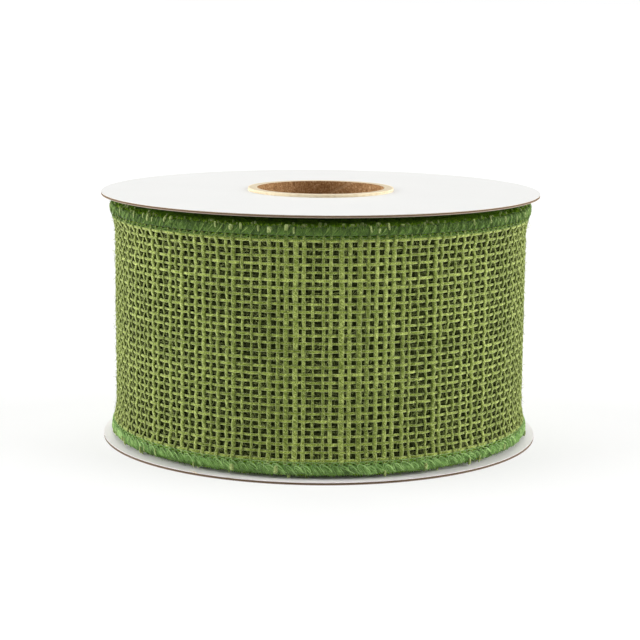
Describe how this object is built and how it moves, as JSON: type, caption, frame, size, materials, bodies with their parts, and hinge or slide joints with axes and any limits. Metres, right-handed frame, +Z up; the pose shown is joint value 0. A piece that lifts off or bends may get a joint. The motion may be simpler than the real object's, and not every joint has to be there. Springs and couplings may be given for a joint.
{
  "type": "ribbon spool",
  "caption": "Wired-edge jute ribbon wound on a paper tube between two flat card flanges, with a hinged free end that peels off the roll.",
  "frame": {"origin": "centre of the lower flange's underside, on the tube's axis", "axes": "+Z up along the tube's axis towards the end that stands out of the upper flange; +Y towards the side where the free end of the ribbon lies"},
  "size_m": [0.122, 0.122, 0.0696],
  "materials": {
    "white_paper": "smooth coated white paper, faint sheen",
    "chipboard": "raw cut edge of grey-brown chipboard",
    "kraft_paper": "brown kraft paper with spiral seams",
    "tube_board": "cream board, cut end shows fine plies",
    "tube_wrap": "tan board, matte",
    "jute_cloth": "loose open weave of dyed green jute yarn",
    "overlock_thread": "green overlock thread, slight sheen",
    "wire": "thin bare steel wire",
    "tape": "clear adhesive tape, glossy"
  },
  "bodies": {
    "spool": {"lower_flange_outer_liner": "white_paper", "lower_flange_outer_board": "chipboard", "lower_flange_inner_board": "chipboard", "lower_flange_inner_liner": "white_paper", "upper_flange_inner_liner": "white_paper", "upper_flange_inner_board": "chipboard", "upper_flange_outer_board": "chipboard", "upper_flange_outer_liner": "white_paper", "core_kraft_liner": "kraft_paper", "core_board": "tube_board", "core_outer_wrap": "tube_wrap", "start_tape": "tape", "wound_cloth": "jute_cloth", "wound_lower_selvage": "overlock_thread", "wound_upper_selvage": "overlock_thread", "outer_turn_cloth": "jute_cloth", "outer_turn_lower_thread": "overlock_thread", "outer_turn_upper_thread": "overlock_thread", "outer_turn_lower_wire": "wire", "outer_turn_upper_wire": "wire"},
    "tail_root": {"tail_root_cloth": "jute_cloth", "tail_root_lower_thread": "overlock_thread", "tail_root_upper_thread": "overlock_thread", "tail_root_lower_wire": "wire", "tail_root_upper_wire": "wire"},
    "tail_middle": {"tail_middle_cloth": "jute_cloth", "tail_middle_lower_thread": "overlock_thread", "tail_middle_upper_thread": "overlock_thread", "tail_middle_lower_wire": "wire", "tail_middle_upper_wire": "wire"},
    "tail_tip": {"tail_tip_cloth": "jute_cloth", "tail_tip_lower_thread": "overlock_thread", "tail_tip_upper_thread": "overlock_thread", "tail_tip_lower_wire": "wire", "tail_tip_upper_wire": "wire", "tail_tape": "tape"}
  },
  "joints": [
    {"name": "tail_root_peel", "type": "hinge", "parent": "spool", "child": "tail_root", "pos_m": [0.02822, 0.05307, 0.03377], "axis": [0, 0, -1], "range_deg": [0, 50]},
    {"name": "tail_middle_peel", "type": "hinge", "parent": "tail_root", "child": "tail_middle", "pos_m": [0.00982, 0.05929, 0.03377], "axis": [0, 0, -1], "range_deg": [0, 40]},
    {"name": "tail_tip_peel", "type": "hinge", "parent": "tail_middle", "child": "tail_tip", "pos_m": [-0.00961, 0.05933, 0.03377], "axis": [0, 0, -1], "range_deg": [0, 40]}
  ]
}
